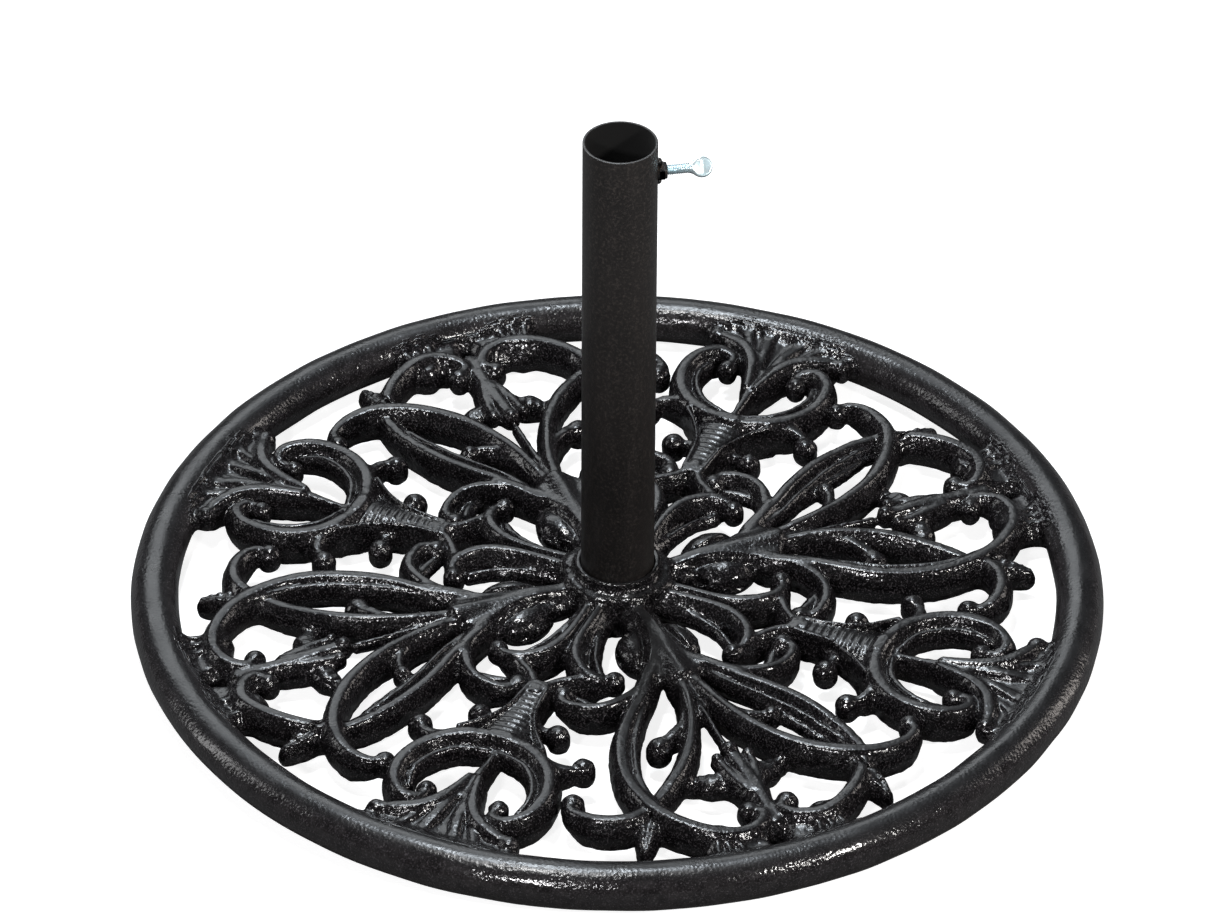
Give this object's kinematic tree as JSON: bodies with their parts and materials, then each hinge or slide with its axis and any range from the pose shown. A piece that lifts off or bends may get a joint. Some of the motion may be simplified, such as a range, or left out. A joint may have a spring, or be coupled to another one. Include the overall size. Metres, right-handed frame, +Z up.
{
  "type": "parasol base",
  "caption": "Round openwork cast-iron base with a torus rim, leaf scrolls and a bolted steel tube that clamps a parasol pole with a side thumb screw.",
  "frame": {"origin": "middle of the base on the ground plane under the rubber feet", "axes": "+Z up along the pole tube, +X along the clamp screw towards its thumb tab"},
  "size_m": [0.5599, 0.56, 0.3275],
  "materials": {
    "cast_iron_black": "black enamel over sand-cast iron, semi-gloss, with a fine orange-peel grain",
    "tube_black": "satin black powder coat with a fine texture",
    "bare_steel": "turned steel, oiled",
    "nut_black": "welded nut under thick black paint",
    "zinc": "bright zinc plate with a faint blue tint",
    "nylon": "natural nylon",
    "bolt_zinc": "dull zinc plate",
    "rubber_black": "moulded rubber"
  },
  "bodies": {
    "base": {"base_casting": "cast_iron_black", "pole_tube": "tube_black", "tube_end_plug": "bare_steel", "clamp_nut": "nut_black", "nut_welds": "nut_black", "fixing_bolt": "bolt_zinc", "spring_washer": "bolt_zinc", "flat_washer": "bolt_zinc", "rubber_feet": "rubber_black"},
    "screw_tip": {"screw_tip": "nylon"},
    "thumb_screw": {"thumb_screw": "zinc"}
  },
  "joints": [
    {"name": "screw_travel", "type": "slide", "parent": "base", "child": "screw_tip", "axis": [-1, 0, 0], "range_m": [-0.003, 0.013]},
    {"name": "screw_turn", "type": "hinge", "parent": "screw_tip", "child": "thumb_screw", "pos_m": [0.045, 0, 0.306], "axis": [-1, 0, 0], "range_deg": [-1080, 4680]}
  ],
  "couplings": [
    {"joint": "screw_turn", "follows": "screw_travel", "rad_per_m": 6283.2}
  ]
}
